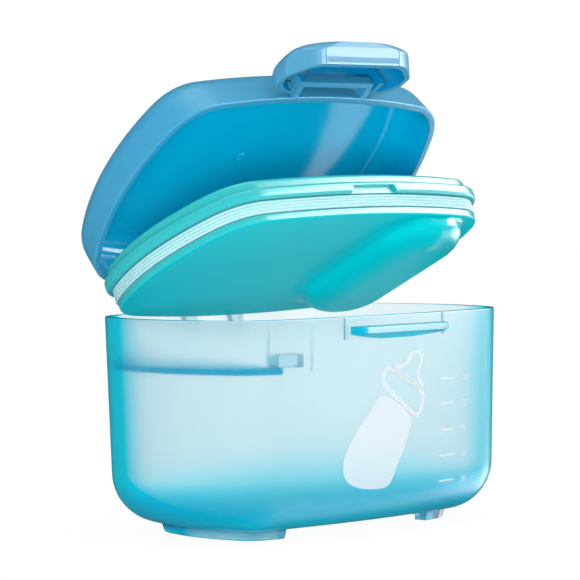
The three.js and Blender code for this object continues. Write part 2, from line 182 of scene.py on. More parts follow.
def lofted(rings, joined=False):
    """A form whose skin runs through rings of equal counts, as a circle's edge extruded from one to the
    next. The ends get a face each, or a joined skin goes round to its first ring."""
    form = bmesh.new()
    loop = bmesh.ops.create_circle(form, segments=len(rings[0]), radius=1)["verts"]
    first = loop
    for vert, place in zip(loop, rings[0]):
        vert.co = place
    for ring in rings[1:] + (rings[:1] if joined else []):
        grown = bmesh.ops.extrude_edge_only(form, edges=loop_edges(loop))["geom"]
        added = {item for item in grown if isinstance(item, bmesh.types.BMVert)}
        loop = [next(e.other_vert(v) for e in v.link_edges if e.other_vert(v) in added) for v in loop]
        for vert, place in zip(loop, ring):
            vert.co = place
    if joined:
        bmesh.ops.remove_doubles(form, verts=first + loop, dist=1e-5)
    else:
        for end in (first, loop):
            bmesh.ops.contextual_create(form, geom=loop_edges(end))
    return form


def prism_x(outline, low, high):
    """An outline of (y, z) pairs run along X."""
    return lofted([[Vector((x, y, z)) for y, z in outline] for x in (low, high)])


def prism_y(outline, low, high):
    """An outline of (x, z) pairs run along Y."""
    return lofted([[Vector((x, y, z)) for x, z in outline] for y in (low, high)])


def block(x, y, z):
    """A box between two x, two y and two z."""
    form = bmesh.new()
    low, high = (Vector(corner) for corner in zip(x, y, z))
    bmesh.ops.create_cube(form, size=1, matrix=Matrix.LocRotScale((low + high) / 2, None, high - low))
    return form


def rod(radius, at, low, high, segments=48):
    """A round rod along X through a point."""
    form = bmesh.new()
    place = Matrix.Translation(((low + high) / 2, at.y, at.z)) @ Matrix.Rotation(math.pi / 2, 4, "Y")
    bmesh.ops.create_cone(form, cap_ends=True, segments=segments, radius1=radius, radius2=radius,
                          depth=high - low, matrix=place)
    return form


def span(side, near, far):
    """The two x of a form that stands from near to far of the middle, on side 1 or -1."""
    return sorted((side * near, side * far))


def hinge_bore():
    return rod(HINGE_BORE, HINGE, -FAR, FAR)


def mesh_of(form, name):
    """Closes a form's normals outwards and hands it over as a mesh."""
    bmesh.ops.recalc_face_normals(form, faces=form.faces)
    mesh = bpy.data.meshes.new(name)
    form.to_mesh(mesh)
    form.free()
    return mesh


def shaped(name, base, *steps):
    """Joins and cuts closed forms, in order, and returns the mesh. A step is an operation and a form."""
    scene = bpy.context.scene
    body = bpy.data.objects.new(name, mesh_of(base, name))
    scene.collection.objects.link(body)
    tools = []
    for operation, form in steps:
        tool = bpy.data.objects.new(name + "_tool", mesh_of(form, name + "_tool"))
        scene.collection.objects.link(tool)
        tools.append(tool)
        modifier = body.modifiers.new("shape", "BOOLEAN")
        modifier.operation = operation
        modifier.solver = "MANIFOLD"
        modifier.object = tool
    graph = bpy.context.evaluated_depsgraph_get()
    mesh = bpy.data.meshes.new_from_object(body.evaluated_get(graph))
    if not mesh.polygons:
        raise RuntimeError(f"{name} came out empty")
    for item in [body] + tools:
        old = item.data
        bpy.data.objects.remove(item)
        bpy.data.meshes.remove(old)
    return mesh


def formed(base, *steps):
    """Joins and cuts in the same way, but returns a form."""
    mesh = shaped("form", base, *steps)
    form = bmesh.new()
    form.from_mesh(mesh)
    bpy.data.meshes.remove(mesh)
    return form


def set_piece(name, mesh, place, body, materials, replaces=(), pick=None):
    """Puts a closed mesh into the row's frame as a finished piece. pick gives a face's material from its
    middle and its normal, both as on the closed dispenser."""
    old = bpy.data.objects.get(name)
    if old:
        bpy.data.objects.remove(old)
    mesh.name = name
    mesh.materials.clear()
    for material in materials:
        mesh.materials.append(material)
    for face in mesh.polygons:
        face.material_index = pick(face.center, face.normal) if pick else 0
    mesh.shade_smooth()
    mesh.set_sharp_from_angle(angle=math.radians(SHARP_OVER))
    mesh.transform(place)
    piece = bpy.data.objects.new(name, mesh)
    bpy.context.scene.collection.objects.link(piece)
    weighted = piece.modifiers.new("even shading", "WEIGHTED_NORMAL")
    weighted.keep_sharp = True
    if replaces:
        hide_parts(*replaces)
    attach(piece, body)
    return piece


# ---------------- finishes

class Value:
    """A number inside a material, for sums written in Python."""

    def __init__(self, finish, socket):
        self.finish = finish
        self.socket = socket

    def __add__(self, other):
        return self.finish.maths("ADD", self, other)

    def __sub__(self, other):
        return self.finish.maths("SUBTRACT", self, other)

    def __mul__(self, other):
        return self.finish.maths("MULTIPLY", self, other)

    def __rsub__(self, other):
        return self.finish.maths("SUBTRACT", other, self)

    __radd__ = __add__
    __rmul__ = __mul__

    def between(self, low, high):
        """0 at low and 1 at high, smooth in between and level outside."""
        return Value(self.finish, self.finish.node(
            "ShaderNodeMapRange", {"interpolation_type": "SMOOTHSTEP", "clamp": True},
            {"Value": self, "From Min": low, "From Max": high}).outputs["Result"])


class Finish:
    """A material, or the world, and the few calls that its nodes need."""

    def __init__(self, name, world=None):
        old = bpy.data.materials.get(name)
        if old:
            bpy.data.materials.remove(old)
        self.holder = world or bpy.data.materials.new(name)
        self.holder.use_nodes = True
        self.tree = self.holder.node_tree
        self.tree.nodes.clear()

    def node(self, kind, settings=None, sockets=None):
        """Adds a node, makes its settings, and then fills its sockets with values or links."""
        node = self.tree.nodes.new(kind)
        for key, value in (settings or {}).items():
            setattr(node, key, value)
        for key, value in (sockets or {}).items():
            socket = node.inputs[key]
            value = value.socket if isinstance(value, Value) else value
            if isinstance(value, bpy.types.NodeSocket):
                self.tree.links.new(value, socket)
            else:
                socket.default_value = value
        return node

    def maths(self, operation, *values):
        node = self.node("ShaderNodeMath", {"operation": operation}, dict(enumerate(values)))
        return Value(self, node.outputs[0])

    def blend(self, factor, first, second):
        """A colour between two colours."""
        first, second = (c if isinstance(c, bpy.types.NodeSocket) else (*c, 1) for c in (first, second))
        node = self.node("ShaderNodeMix", {"data_type": "RGBA", "clamp_factor": True},
                         {0: factor, 6: first, 7: second})
        return node.outputs[2]

    def closed(self, place):
        """Object coordinates brought back to the closed dispenser, in millimetres."""
        where, way, scale = place.inverted().decompose()
        coordinates = self.node("ShaderNodeTexCoord").outputs["Object"]
        mapping = self.node("ShaderNodeMapping", {"vector_type": "POINT"},
                            {"Vector": coordinates, "Location": where, "Rotation": way.to_euler(),
                             "Scale": scale})
        return mapping.outputs["Vector"]

    def axes(self, vector):
        parts = self.node("ShaderNodeSeparateXYZ", None, {"Vector": vector})
        return [Value(self, parts.outputs[i]) for i in range(3)]

    def facing(self):
        """0 where a surface is seen straight on and 1 where it is seen edge on, for clear parts."""
        return Value(self, self.node("ShaderNodeLayerWeight", None, {"Blend": 0.5}).outputs["Facing"])

    def noise(self, vector, scale, detail=2.0):
        node = self.node("ShaderNodeTexNoise", None, {"Vector": vector, "Scale": scale, "Detail": detail})
        return Value(self, node.outputs[0])

    def bump(self, height, strength, distance):
        return self.node("ShaderNodeBump", None,
                         {"Height": height, "Strength": strength, "Distance": distance}).outputs["Normal"]

    def plastic(self, **sockets):
        """The main shader, with its constants and links by socket name."""
        named = {key.replace("_", " "): value for key, value in sockets.items()}
        return self.node("ShaderNodeBsdfPrincipled", None, named).outputs[0]

    def done(self, surface, volume=None):
        sockets = {"Surface": surface}
        if volume:
            sockets["Volume"] = volume
        kind = "World" if isinstance(self.holder, bpy.types.World) else "Material"
        self.node("ShaderNodeOutput" + kind, None, sockets)
        return self.holder


def frosted_plastic(name, fading, frost, place, clear, edge, deeper_below=(0, -1)):
    """Clear plastic with a fine frost. Its colour deepens with the length that light runs through it, by
    fading for red, green and blue per millimetre, and turns to the edge's colour where it is seen edge on.
    Painted shade: it also turns to the edge's colour from one height down to another, less so on the feet."""
    finish = Finish(name)
    where = finish.closed(place)
    grain = finish.noise(where, 2.2, 3)
    cloud = finish.noise(where, 0.06)
    height = finish.axes(where)[2]
    above_feet = 0.4 + height.between(2.4, 4.6) * 0.6
    # Painted shade: deeper towards the bottom, and less so on the feet
    deep = finish.facing().between(0.37, 0.57) + height.between(*deeper_below) * above_feet
    surface = finish.plastic(
        Base_Color=finish.blend(deep, finish.blend(cloud, clear, (0.96, 0.985, 0.99)), edge),
        Roughness=frost * 0.85 + grain * (frost * 0.3), IOR=1.44, Specular_IOR_Level=0.1,
        Transmission_Weight=1.0, Normal=finish.bump(grain, 0.12, 0.00002))
    fastest, deepest = max(fading), 0.98
    absorb = finish.node("ShaderNodeVolumeAbsorption", None,
                         {"Color": (*[1 - fade / fastest * deepest for fade in fading], 1),
                          "Density": fastest / deepest / MM})
    return finish.done(surface, absorb.outputs[0])


def moulded_plastic(name, main, drift, place, rough=0.35, shine=0.5, glow=0.5, grain_scale=1.6):
    """Moulded plastic with fine spark-eroded grain, in a main colour that drifts to another one's code.
    shine is its specular level, and glow the share of light that sinks in and comes out again."""
    finish = Finish(name)
    where = finish.closed(place)
    grain = finish.noise(where, grain_scale, 3)
    surface = finish.plastic(
        Base_Color=finish.blend(finish.noise(where, 0.035), main, tone(drift)),
        Roughness=rough * 0.88 + grain * (rough * 0.24), IOR=1.5, Specular_IOR_Level=shine,
        Subsurface_Weight=glow, Subsurface_Radius=(0.5, 1.0, 0.9), Subsurface_Scale=0.003,
        Normal=finish.bump(grain, 0.03, 0.00001))
    return finish.done(surface)


# ---------------- settings

class TubSettings(bpy.types.PropertyGroup):
    wall: size("Wall", "Thickness of the tub's wall and floor", 2.2, 1.2, 3)
    corner: size("Floor corner", "Radius between the floor and the wall, outside", 15.9, 6, 18)
    deepening: FloatVectorProperty(
        name="Deepening", description="How fast red, green and blue fade inside the plastic, per millimetre",
        size=3, min=0, max=2, default=(0.075, 0.02, 0.006))
    # The edge's colour is also painted as shade towards the tub's bottom
    edge: colour("Edge", "Colour of the wall seen edge on", "00e8fc")
    frost: share("Frost", "How much the wall scatters what is behind it", 0.3)


class PrintSettings(bpy.types.PropertyGroup):
    ink: colour("Ink", "Colour of the printed scale and bottle", "d4d6da")
    cover: share("Cover", "How much the ink hides what is behind it", 0.42)
    height: size("Figures", "Height of the figures on the scale", 2.4, 1.5, 4)


class LevellerSettings(bpy.types.PropertyGroup):
    thick: size("Thickness", "Thickness of the plate that strikes the powder level", 2.2, 1, 3)
    shade: colour("Colour", "Colour of the plate", "00dcff")


class HingeSettings(bpy.types.PropertyGroup):
    radius: size("Radius", "Radius of the rod through the hinge", 1.25, 0.8, 1.5)
    shade: colour("Colour", "Colour of the rod", "5fb4d8")


class InnerLidSettings(bpy.types.PropertyGroup):
    rim: colour("Rim", "Colour of the flange, the step and the lower rib", "2aaeb2")
    # The underside's colour, more saturated than the rim's, is painted shade
    under: colour("Underside", "Colour of the plate and the scoop well", "00bcc4")
    depth: size("Well", "Depth of the scoop well below the plate", 6.7, 4, 10)


class SealSettings(bpy.types.PropertyGroup):
    shade: colour("Colour", "Colour of the silicone", "a6d2d6")
    ribs: IntProperty(name="Ribs", description="Number of ribs up the face of the seal", default=4, min=2,
                      max=9)


class OuterLidSettings(bpy.types.PropertyGroup):
    outside: colour("Outside", "Colour of the lid's outside", "3692b6")
    # The inside's brighter, more saturated colour is painted light, for light through the wall into the
    # hollow
    inside: colour("Inside", "Colour of the lid's inside", "00bce2")
    wall: size("Wall", "Thickness of the lid's wall", 2.4, 1.4, 3)


class ClaspSettings(bpy.types.PropertyGroup):
    shade: colour("Outside", "Colour of the clasp's outside", "4290b2")
    # The hollow's darker colour is painted shade
    inside: colour("Inside", "Colour of the clasp's hollow", "0084b4")
    wall: size("Wall", "Thickness of the clasp's wall", 1.7, 1.2, 2.2)


class StageSettings(bpy.types.PropertyGroup):
    floor: colour("Floor", "Colour of the floor", "fdfdfd")
    key: power("Key light", "Strength of the large soft light at the right front", 2.5)
    sheen: power("Sheen light", "Strength of the same light in reflections", 22)
    low_fill: power("Low fill", "Strength of the light that shines up into the lids", 2.3)
    surround: share("Surround", "How bright the white surround is as a light", 0.88)


# ---------------- pieces

def tub_shell(wall, radius):
    def side(depth):
        for inwards, up in quarter_arc(16):
            z = FLOOR_Z + depth + (radius - depth) * up
            yield wall_inset(z, depth + (radius - depth) * inwards), z, 0
    outer, inner = list(side(0)), list(side(wall))
    rim = [(0, RIM_Z, 0.5), (wall, RIM_Z, 0.5)]
    straight = [(wall_inset(z), z, 0) for z in (30, 50, 66)]
    back = [(wall_inset(z, wall), z, 0) for z in (66, 50, 30)]
    return lofted(around(soften(outer + straight + rim + back + inner[::-1])))


def catch_ledge():
    """The shelf that the clasp hooks under: a short front lip, a sloping underside, a bowed lower edge and
    rounded ends."""
    half, rounding, steps = 19.5, 2.2, 60
    back, front, top, slope = -41.8, -48.6, 66.7, 0.3824
    sections = []
    for i in range(steps + 1):
        x = -half + 2 * half * i / steps
        bow = 64.1 - 1.9 * (1 - (x / half) ** 2)
        into = max(0, abs(x) - half + rounding) / rounding
        face = front + rounding * (1 - math.sqrt(max(0, 1 - into ** 2)))
        lip = max(64.6, bow + 0.05)
        under = face + max(0.05, (lip - bow) / slope)
        sections.append([Vector((x, y, z)) for y, z in (
            (back, bow), (back, top), (face + 0.5, top), (face + 0.15, top - 0.15), (face, top - 0.5),
            (face, lip), (min(under, back - 0.2), bow))])
    return lofted(sections)


# The guide that the leveller's tab stands in: its ends and its foot and top, how proud it is and its width
GUIDE_X, GUIDE_Z, GUIDE_PROUD, GUIDE_BAR = (-49.1, -33.2), (53.5, 66.25), 0.4, 0.5


def u_line(low_x, high_x, low_z, high_z, radius):
    """The line of a U with round lower corners, as (x, z) pairs."""
    line = [(low_x, high_z)]
    for x, start in ((low_x + radius, 180), (high_x - radius, 270)):
        for degrees in range(start, start + 91, 15):
            angle = math.radians(degrees)
            line.append((x + radius * math.cos(angle), low_z + radius + radius * math.sin(angle)))
    return line + [(high_x, high_z)]


def guides(wall):
    """A thin raised U on the inner walls, front and back, as a closed mesh's form."""
    (left, right), (foot, top) = GUIDE_X, GUIDE_Z
    section = [(z, wall + extra) for z, extra in (
        (foot - 1, GUIDE_PROUD), (foot - 1, -0.2), (top + 0.3, -0.2), (top + 0.3, GUIDE_PROUD))]
    band = lofted(around([(wall_inset(z, extra), z) for z, extra in section]), joined=True)
    outline = u_line(left, right, foot, top, 1.6)
    outline += u_line(left + GUIDE_BAR, right - GUIDE_BAR, foot + GUIDE_BAR, top, 0.5)[::-1]
    return formed(band, (KEEP, prism_y(outline, -FAR, FAR)))


def feet():
    """Two rails under the ends that follow the outline."""
    section = ((17.7, 0), (17.3, 0.3), (16, 4.4), (22, 4.4), (22, 0))
    rails = lofted([plan_ring(inset, z, least_corner=8) for inset, z in section], joined=True)
    gap = block((-31.8, 31.8), (-FAR, FAR), (-1, 5.4))
    return formed(rails, (CUT, gap))


class MakeTub(bpy.types.Operator):
    """Make the frosted tub with its ledge, gussets, guides, feet and hinge lugs"""
    bl_idname = "dispenser.make_tub"
    bl_label = "Tub"

    def execute(self, context):
        settings = context.scene.dispenser_tub
        wall = settings.wall / MM
        lug = [(42, 59), (43, 59), (44.2, 60.5), (49.9, 72.4), (50, HINGE.z), (43.8, HINGE.z), (43.4, 69.5),
               (42, 69.5)]
        steps = [(ADD, catch_ledge())]
        for side in SIDES:
            lug_span = span(side, 8.5, 12.1)
            steps += [(ADD, block(span(side, 21.6, 22.4), (-43.1, -41.5), (62.6, 69.5))),
                      (ADD, prism_x(lug, *lug_span)), (ADD, rod(3.2, HINGE, *lug_span))]
        steps += [(ADD, guides(wall)), (ADD, feet()), (CUT, hinge_bore())]
        mesh = shaped("tub", tub_shell(wall, settings.corner / MM), *steps)
        # The tub takes the edge's colour as painted shade from 20 mm down to 7 mm, towards its bottom
        plastic = frosted_plastic("tub_frosted_plastic", settings.deepening, settings.frost, IN_TUB,
                                  (0.99, 1.0, 1.0), settings.edge, (20, 7))
        # Painted shade: the ledge's left end alone takes a deep opaque colour
        painted_ledge_end = moulded_plastic("tub_ledge_end_painted_shade", tone("06a8c0"), "04a0bc", IN_TUB, 0.3, 0.4)

        def pick(middle, normal):
            """1, a deep opaque colour painted on as shade, on the ledge's left end alone."""
            return 1 if normal.x < -0.5 and middle.y < -43.2 and middle.z > 60 else 0

        set_piece("tub", mesh, IN_TUB, "container", [plastic, painted_ledge_end], ["container"], pick)
        return {"FINISHED"}


class MakeLeveller(bpy.types.Operator):
    """Make the plate across the left end that strikes the powder level"""
    bl_idname = "dispenser.make_leveller"
    bl_label = "Leveller"

    def execute(self, context):
        settings = context.scene.dispenser_leveller
        low, tab_top, edge = 52.8, 58.8, 3.3
        high = low + settings.thick / MM
        section = ((edge + 0.3, low, 0), (edge, low, 0.3), (edge, high, 0.3), (edge + 0.3, high, 0))
        plate = lofted(around(soften([(wall_inset(z, extra), z, cut) for extra, z, cut in section])))
        section = ((6.6, high - 0.1), (2.6, high - 0.1), (2.6, tab_top), (6.6, tab_top))
        tabs = lofted(around([(wall_inset(z, extra), z) for extra, z in section]), joined=True)
        tabs = formed(tabs, (KEEP, block((-45.4, -36.4), (-FAR, FAR), (0, 120))))
        mesh = shaped("leveller_plate", plate, (KEEP, block((-80, -43.4), (-FAR, FAR), (0, 120))),
                      (ADD, tabs))
        plastic = moulded_plastic("leveller_plastic", settings.shade, "00c3f0", IN_TUB, 0.4)
        clear = frosted_plastic("leveller_tab_plastic", (0.05, 0.012, 0.004), 0.2, IN_TUB, (0.9, 0.97, 1.0),
                                tone("00c8f4"))
        set_piece("leveller_plate", mesh, IN_TUB, "container", [plastic, clear],
                  ["leveller"], lambda middle, normal: 1 if middle.z > high + 0.1 else 0)
        return {"FINISHED"}


class MakeHingeRod(bpy.types.Operator):
    """Make the rod that both lids turn on"""
    bl_idname = "dispenser.make_hinge_rod"
    bl_label = "Hinge rod"

    def execute(self, context):
        settings = context.scene.dispenser_hinge
        half = 20.2
        form = rod(settings.radius / MM, HINGE, -half, half, 40)
        ends = [e for e in form.edges if all(abs(abs(v.co.x) - half) < 1e-4 for v in e.verts)]
        bmesh.ops.bevel(form, geom=ends, offset=0.25, segments=3, profile=0.5, affect="EDGES", material=-1)
        plastic = moulded_plastic("hinge_rod_plastic", settings.shade, "56abd0", IN_TUB)
        set_piece("hinge_rod", mesh_of(form, "hinge_rod"), IN_TUB, "container", [plastic],
                  ["hinge_pin"])
        return {"FINISHED"}


# Outlines of the scoop well in the plate, as x, y, half lengths and corner radius
WELL_MOUTH = (31.8, -2, 22.2, 34, 15)
WELL_CREASE = (32.8, -3.9, 16.8, 32.3, 15.5)
WELL_FLOOR = (38.2, 0, 8.5, 24.6, 7.7)


def well_ring(first, second, part, z, wall, steps=12):
    """A rounded rectangle part way from one outline to another."""
    x, y, half_x, half_y, corner = (a + (b - a) * part for a, b in zip(first, second))
    half_x, half_y, corner = half_x - wall, half_y - wall, corner - wall
    ring = []
    for sign_x, sign_y, start in ((1, -1, 270), (1, 1, 0), (-1, 1, 90), (-1, -1, 180)):
        for i in range(steps + 1):
            angle = math.radians(start + 90 * i / steps)
            ring.append(Vector((x + sign_x * (half_x - corner) + corner * math.cos(angle),
                                y + sign_y * (half_y - corner) + corner * math.sin(angle), z)))
    return ring


def well_form(wall, mouth_z, start_z, depth):
    """A round bottom up to the crease, then a hollow curve out to the mouth."""
    drop = 1.6
    rings = []
    for i in range(16, -1, -1):
        t = i / 16 * math.pi / 2
        rings.append(well_ring(WELL_CREASE, WELL_FLOOR, 1 - math.cos(t),
                               start_z - drop - (depth - drop) * math.sin(t), wall))
    for i in range(1, 9):
        t = i / 8 * math.pi / 2
        rings.append(well_ring(WELL_CREASE, WELL_MOUTH, 1 - math.cos(t),
                               start_z - drop * (1 - math.sin(t)), wall))
    return lofted(rings + [well_ring(WELL_MOUTH, WELL_MOUTH, 0, mouth_z, wall)])


def well_hollow(depth):
    tray = lofted([plan_ring(7.2, z) for z in (50, 74)])
    return formed(well_form(1.7, 69.4, 65.4, depth), (KEEP, tray))


# The inner lid's section, from under its plate round the seal's groove and the flange into the tray, as
# inset, z and how far the corner is cut
INNER_PROFILE = (
    (5.6, 63.6, 0), (4.4, 63.6, 0), (3.25, 63.6, 1.0), (3.25, 66.2, 0.5), (4.6, 66.2, 0), (4.6, 70.6, 0),
    (0.89, 70.6, 1.3), (0.89, 74.2, 0.9), (3.1, 74.2, 0.3), (3.1, 77.82, 1.3), (6.2, 77.82, 0.6),
    (6.2, 65.4, 0.9), (7.4, 65.4, 0))


class MakeInnerLid(bpy.types.Operator):
    """Make the tray-shaped inner lid with its scoop well, thumb notch and hinge knuckle"""
    bl_idname = "dispenser.make_inner_lid"
    bl_label = "Inner lid"

    def execute(self, context):
        settings = context.scene.dispenser_inner_lid
        depth = settings.depth / MM
        knuckle = (-8.1, 8.1)
        arm = [(41, 70.5), (44, 70.8), (HINGE.y, HINGE.z - 2.87), (HINGE.y, 75), (44.6, 74.04), (41, 74.04)]
        thumb = [(-10.6, 69.6), (10.6, 69.6), (9, 73), (-9, 73)]
        thumb_end = 0.89 + 1.7 - PLAN["width"] / 2
        mesh = shaped(
            "inner_lid_tray", lofted(around(soften(INNER_PROFILE))),
            (ADD, well_form(0, 65, 63.6, depth)), (ADD, prism_x(arm, *knuckle)),
            (ADD, rod(2.9, HINGE, *knuckle)), (CUT, well_hollow(depth)),
            (CUT, prism_y(thumb, -FAR, thumb_end)), (CUT, hinge_bore()))
        rim = moulded_plastic("inner_lid_rim_plastic", settings.rim, "22a6aa", IN_INNER_LID, 0.3, 1.0)
        # Painted shade: the plate's underside and the well take a more saturated colour than the rim
        under = moulded_plastic("inner_lid_under_painted_shade", settings.under, "00b0b8", IN_INNER_LID, 0.3,
                                0.03, 0)
        well = moulded_plastic("inner_lid_well_painted_shade", settings.under, "00b0b8", IN_INNER_LID, 0.25, 1.0, 0)

        def pick(middle, normal):
            """2 on the glossy front right end of the well, 1 on the rest of the underside, 0 elsewhere."""
            if middle.z < 63.3 and middle.x > 33 and middle.y < -14:
                return 2
            return 1 if middle.z < 63.9 and normal.z < -0.35 or middle.z < 63.55 else 0

        set_piece("inner_lid_tray", mesh, IN_INNER_LID, "inner_lid", [rim, under, well],
                  ["inner_lid"], pick)
        return {"FINISHED"}


class MakeSeal(bpy.types.Operator):
    """Make the ribbed silicone band in the inner lid's groove"""
    bl_idname = "dispenser.make_seal"
    bl_label = "Seal"

    def execute(self, context):
        settings = context.scene.dispenser_seal
        low, high = 66.35, 70.45
        back, dip, crest = 4.5, 3.05, 2.65
        pitch = (high - low) / settings.ribs
        profile = [(back, low)]
        for i in range(settings.ribs):
            for j, inset in ((0, dip), (0.25, 2.78), (0.5, crest), (0.75, 2.78)):
                profile.append((inset, low + (i + j) * pitch))
        profile += [(dip, high), (back, high)]
        finish = Finish("seal_silicone")
        where = finish.closed(IN_INNER_LID)
        dust = finish.noise(where, 0.5, 4)
        surface = finish.plastic(
            Base_Color=finish.blend(dust, settings.shade, tone("96c8ce")), Roughness=0.3 + dust * 0.14,
            IOR=1.42, Specular_IOR_Level=1.0, Subsurface_Weight=0.35, Subsurface_Radius=(1, 1, 1),
            Subsurface_Scale=0.002, Normal=finish.bump(finish.noise(where, 4), 0.05, 0.00003))
        mesh = mesh_of(lofted(around(profile), joined=True), "seal_band")
        set_piece("seal_band", mesh, IN_INNER_LID, "inner_lid", [finish.done(surface)],
                  ["seal"])
        return {"FINISHED"}


def lid_shell(wall):
    edge, rim, height, radius = 0.37, 74.44, 17.55, 9.2
    slope = math.tan(math.radians(4.07))

    def dome(depth):
        for inwards, down in quarter_arc(14):
            z = rim + height - depth - (radius - depth) * down
            yield edge + depth + (z - rim) * slope + (radius - depth) * inwards, z, 0
    inner, outer = list(dome(wall)), list(dome(0))
    lip = [(edge + wall, rim, 0.5), (edge, rim, 0.5)]
    return lofted(around(soften(inner + lip + outer[::-1])))


def gate_mark(x, y, z):
    """The small round crater that the moulding gate leaves on the underside of a ceiling."""
    turns = [math.tau * i / 24 for i in range(24)]
    return lofted([[Vector((x + radius * math.cos(t), y + radius * math.sin(t), z + rise)) for t in turns]
                   for radius, rise in ((1.8, 0.3), (1.75, -0.05), (1.4, -0.35), (1.0, -0.4), (0.7, -0.3),
                                        (0.45, 0))])


class MakeOuterLid(bpy.types.Operator):
    """Make the domed outer lid with the clasp's bracket and the hinge knuckles"""
    bl_idname = "dispenser.make_outer_lid"
    bl_label = "Outer lid"

    def execute(self, context):
        settings = context.scene.dispenser_outer_lid
        bracket, pins, knuckle = (14.2, 16.4), (16.2, 18.9), (12.5, 19.5)
        bracket_z = (74.6, 78.2)
        web = [(41.4, 74.7), (43.4, 74.7), (43.9, 73.2), (HINGE.y, HINGE.z - 2.97), (49.6, 75.2),
               (42.4, 79.5), (41.4, 79.5)]
        steps = [(ADD, block((-bracket[1], bracket[1]), (-48.7, -46.9), bracket_z)),
                 (ADD, gate_mark(-4.6, -2.8, 91.99 - settings.wall / MM))]
        for side in SIDES:
            steps += [(ADD, block(span(side, *bracket), (-48.7, -41.4), bracket_z)),
                      (ADD, rod(1.3, PIVOT, *span(side, *pins))),
                      (ADD, prism_x(web, *span(side, *knuckle))),
                      (ADD, rod(3, HINGE, *span(side, *knuckle)))]
        mesh = shaped("outer_lid_shell", lid_shell(settings.wall / MM), *steps, (CUT, hinge_bore()))
        outside = moulded_plastic(
            "outer_lid_outside_plastic", settings.outside, "308cb2", IN_OUTER_LID, 0.4, 0.7)
        # Painted light: the inside takes a brighter, more saturated colour than the outside
        inside = moulded_plastic(
            "outer_lid_inside_painted_light", settings.inside, "00b4dc", IN_OUTER_LID, 0.12, 0.5, 0.6, 0.8)

        def pick(middle, normal):
            """1 on the walls and the ceiling inside the shell, 0 elsewhere."""
            deep = middle.z > 74.9 and abs(middle.x) < 62.6 and abs(middle.y) < 40.8
            towards = normal.x * middle.x + normal.y * middle.y
            return 1 if deep and (towards < -0.5 and middle.z < 90 or normal.z < -0.4) else 0

        set_piece("outer_lid_shell", mesh, IN_OUTER_LID, "outer_lid", [outside, inside],
                  ["outer_lid"], pick)
        return {"FINISHED"}


# The clasp's rear, the half length of its ends and how much wider it is between them, the z of its lower
# and upper end and how deep each bends, and the middle that its inside faces
CLASP_REAR, CLASP_HALF, CLASP_BEND = -43.7, 13.7, 14.2
CLASP_LOW, CLASP_LOW_BEND, CLASP_HIGH, CLASP_HIGH_BEND = 58.2, 7.1, 79.8, 7.7
CLASP_CORE = Vector((0, -46, 68.6))


def on_end(y, depth, wall=0):
    """y and z of a point at a depth under the clasp's flat lower end, which slopes down to the front."""
    return y - 0.4785 * depth, 60.7 + wall + 0.545 * (y - CLASP_REAR) + 0.878 * depth


def on_top(y, wall):
    """y and z of a point on the clasp's flat upper end, which slopes up to the front."""
    return y, 78.5 - wall - 0.33 * (y - CLASP_REAR)


def clasp_section(half, z, wall):
    """A crowned section: the front half of a superellipse whose front lies on a round face."""
    front = -54.2 + (z - 68.6) ** 2 / (2 * 15.8) + wall
    rear = CLASP_REAR + (3 if wall > 0 else 0)
    power, steps = 2 / 3.25, 56
    points = []
    for i in range(steps + 1):
        t = math.pi * (1 + i / steps)
        c, s = math.cos(t), abs(math.sin(t))
        points.append(Vector(((half - wall) * math.copysign(abs(c) ** power, c),
                              rear - (rear - front) * s ** power, z)))
    return points


def clasp_form(wall):
    """The clasp's outer form, or its hollow when wall is more than 0: crowned sections stacked in z."""
    bend = [i / 14 * math.pi / 2 for i in range(15)]
    low = [(t, CLASP_LOW + wall + CLASP_LOW_BEND * (1 - math.sin(t))) for t in reversed(bend)]
    high = [(t, CLASP_HIGH - wall - CLASP_HIGH_BEND * (1 - math.sin(t))) for t in bend]
    sections = [clasp_section(CLASP_HALF + CLASP_BEND * math.cos(t), z, wall)
                for t, z in low + [(0, 67), (0, 69.5)] + high]
    near, far = -39.7, -56.5
    trim = [on_end(near, 0, wall), on_top(near, wall), on_top(far, wall), on_end(far, 0, wall)]
    return formed(lofted(sections), (KEEP, prism_x(trim, -FAR, FAR)),
                  *((CUT, clasp_shoulder(side, wall)) for side in SIDES))


def clasp_end_marks():
    """Cuts in the flat end: a sloping recess, a fine line across and two grooves beside it, as forms."""
    groove = ((-54, -0.6), (-54, 0.2), (-43, 0.2), (-43, -0.6))
    for outline, low, high in ((((-45.8, -0.6), (-45.8, 0.05), (-44.3, 0.45), (-44.2, -0.6)), -16, 16.4),
                               (((-48.5, -0.6), (-48.5, 0.15), (-48.1, 0.15), (-48.1, -0.6)), -16, 16.4),
                               (groove, -16.5, -16.1), (groove, 16.4, 16.8)):
        yield prism_x([on_end(*pair) for pair in outline], low, high)


def clasp_shoulder(side, wall):
    """What is cut off beside the flat end so that its shoulders are round, as a form."""
    outline = [(16.4, 0), (18, 0.2), (20, 0.85), (22, 1.9), (26, 5), (34, 12), (34, -6), (16.4, -6)]
    return lofted([[Vector((side * (x - wall * 0.3), *on_end(y, depth, wall))) for x, depth in outline]
                   for y in (-FAR, -38)])


